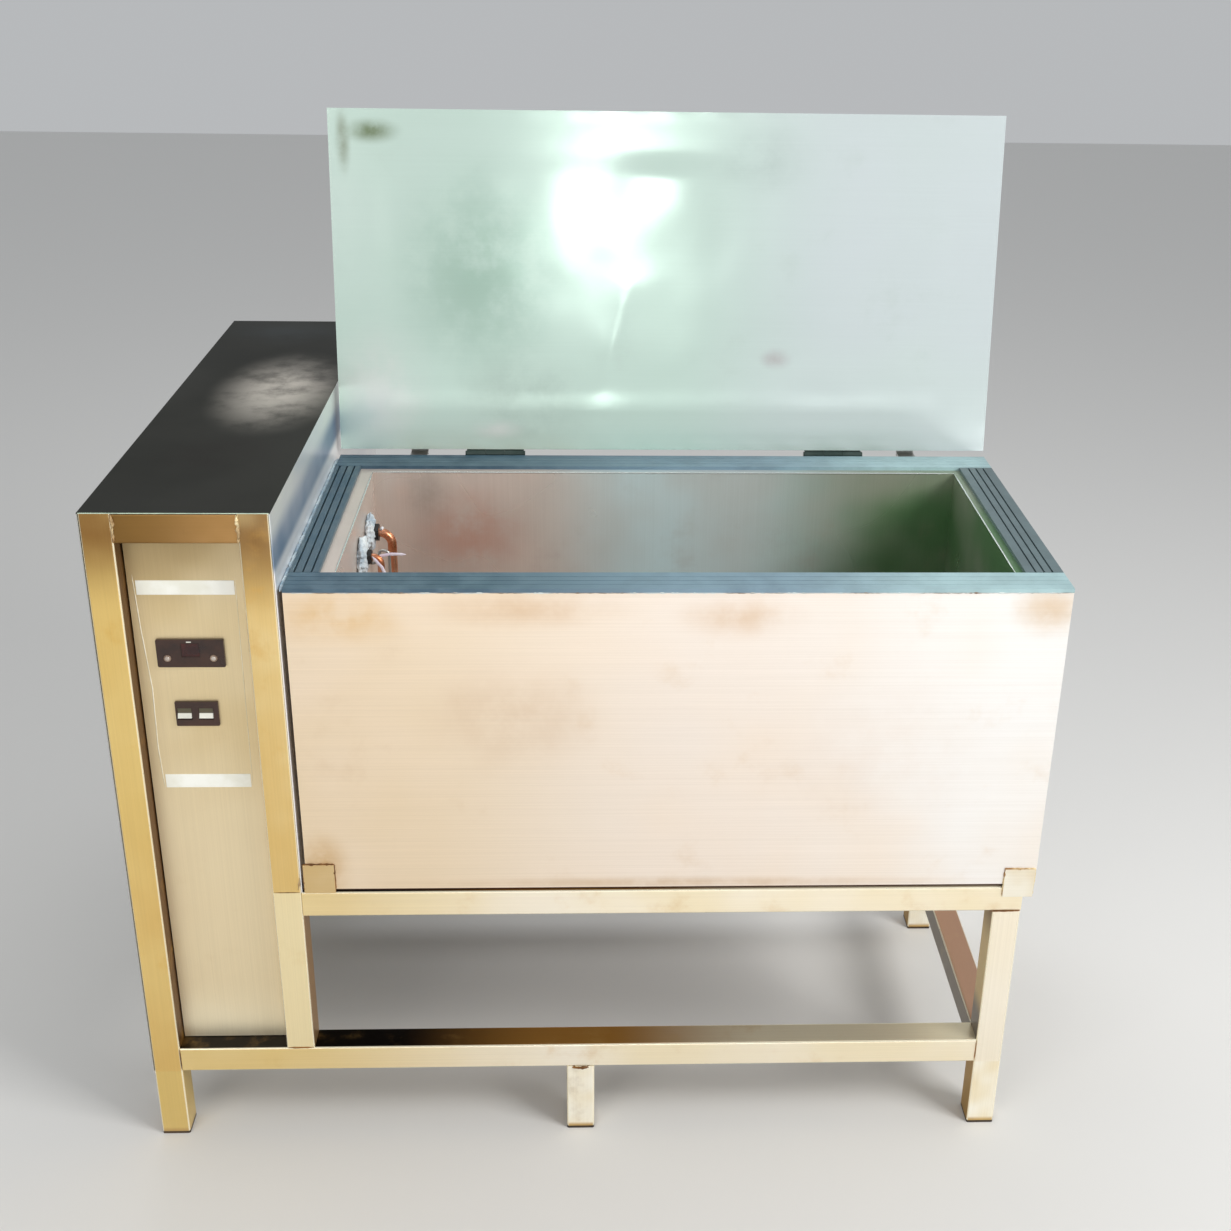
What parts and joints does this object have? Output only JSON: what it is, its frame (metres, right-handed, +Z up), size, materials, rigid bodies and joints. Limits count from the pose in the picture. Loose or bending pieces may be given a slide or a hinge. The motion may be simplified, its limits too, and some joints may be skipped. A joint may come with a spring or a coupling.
{
  "type": "bulk milk tank",
  "caption": "Insulated chest with a hinged lid on a square-tube stand, beside a narrow refrigeration cabinet, for chilling milk",
  "frame": {"origin": "on the floor, at the middle of the plan of the whole object with its lid open", "axes": "+X along the tank, away from the cabinet; +Y to the back, where the lid is hinged; +Z up"},
  "size_m": [1.187, 0.8906, 1.3247],
  "materials": {
    "warm_steel": "satin mill finish that reads warm",
    "frame_steel": "satin mill finish",
    "foot_plastic": "moulded",
    "tank_steel": "fine horizontal brushing",
    "foam": "rigid closed-cell foam",
    "rim_plastic": "ribbed extrusion, slightly glossy",
    "fitting_steel": "turned",
    "drain_brass": "nickel-plated casting",
    "lever_plastic": "dipped",
    "copper": "drawn copper pipe, oxidised",
    "support_steel": "cut and bent",
    "gland_plastic": "moulded",
    "wrap_foam": "cut foam tape",
    "probe_steel": "lead jacket and steel bulb",
    "compressor_paint": "gloss black",
    "fin_aluminium": "pressed fins",
    "motor_steel": "stoved",
    "fan_blade_plastic": "moulded",
    "box_plastic": "moulded",
    "cabinet_steel": "fine brushing along the depth",
    "panel_steel": "vertical brushing",
    "controller_plastic": "moulded",
    "button_plastic": "moulded",
    "lid_steel": "bright annealed, nearly mirror",
    "handle_steel": "polished bar"
  },
  "bodies": {
    "root": {"back_panel": "cabinet_steel", "back_posts": "frame_steel", "cabinet_cross_rails": "frame_steel", "cabinet_left_sheet": "cabinet_steel", "cabinet_right_sheet": "cabinet_steel", "cabinet_side_rails": "frame_steel", "cabinet_top": "cabinet_steel", "cable_gland": "gland_plastic", "coil_supports": "support_steel", "compressor": "compressor_paint", "condenser_coil": "fin_aluminium", "control_box": "box_plastic", "controller": "controller_plastic", "corner_tabs": "frame_steel", "drain_fitting": "fitting_steel", "drain_valve_body": "drain_brass", "evaporator_coil": "copper", "fan_motor": "motor_steel", "fan_shroud": "support_steel", "feet": "frame_steel", "filter_drier": "copper", "foot_plugs": "foot_plastic", "front_panel": "panel_steel", "hinge_fixed_leaves": "support_steel", "hinge_pins": "support_steel", "leg_front_inner": "warm_steel", "lid_stops": "support_steel", "lower_back_rail": "frame_steel", "lower_front_rail": "warm_steel", "pipe_glands": "gland_plastic", "pipe_wraps": "wrap_foam", "post_front_left": "warm_steel", "post_front_right": "frame_steel", "refrigerant_lines": "copper", "right_legs": "frame_steel", "right_side_rails": "frame_steel", "rim_strips_long": "rim_plastic", "rim_strips_side": "rim_plastic", "suction_line": "copper", "switch_frame": "controller_plastic", "tank_bottom_pan": "tank_steel", "tank_insulation": "foam", "tank_liner": "tank_steel", "tank_shell": "tank_steel", "temperature_probe": "probe_steel", "unit_shelf": "support_steel", "upper_back_rail": "frame_steel", "upper_front_rail": "frame_steel"},
    "lid": {"lid_outer_skin": "lid_steel", "lid_inner_skin": "lid_steel", "lid_core": "foam", "lid_handle": "handle_steel", "lid_hinge_leaves": "support_steel"},
    "drain_lever": {"drain_ball": "fitting_steel", "drain_lever": "lever_plastic"},
    "rocker_left": {"rocker_left": "button_plastic"},
    "rocker_right": {"rocker_right": "button_plastic"},
    "button_left": {"button_left": "button_plastic"},
    "button_right": {"button_right": "button_plastic"},
    "fan": {"fan_blades": "fan_blade_plastic"}
  },
  "joints": [
    {"name": "lid_hinge", "type": "hinge", "parent": "root", "child": "lid", "pos_m": [0.115, 0.03735, 0.8386], "axis": [1, 0, 0], "range_deg": [0, 97.8]},
    {"name": "drain_lever_turn", "type": "hinge", "parent": "root", "child": "drain_lever", "pos_m": [0.4465, -0.21125, 0.3466], "axis": [0, 1, 0], "range_deg": [0, 90]},
    {"name": "rocker_left_tilt", "type": "hinge", "parent": "root", "child": "rocker_left", "pos_m": [-0.5013, -0.41485, 0.6559], "axis": [1, 0, 0], "range_deg": [0, 20]},
    {"name": "rocker_right_tilt", "type": "hinge", "parent": "root", "child": "rocker_right", "pos_m": [-0.4747, -0.41485, 0.6559], "axis": [1, 0, 0], "range_deg": [0, 20]},
    {"name": "button_left_press", "type": "slide", "parent": "root", "child": "button_left", "axis": [0, 1, 0], "range_m": [0, 0.001], "stiffness_N_per_m": 400, "springref_m": -0.001},
    {"name": "button_right_press", "type": "slide", "parent": "root", "child": "button_right", "axis": [0, 1, 0], "range_m": [0, 0.001], "stiffness_N_per_m": 400, "springref_m": -0.001},
    {"name": "fan_spin", "type": "hinge", "parent": "root", "child": "fan", "pos_m": [-0.48175, 0.29875, 0.5326], "axis": [0, 1, 0], "continuous": true}
  ]
}
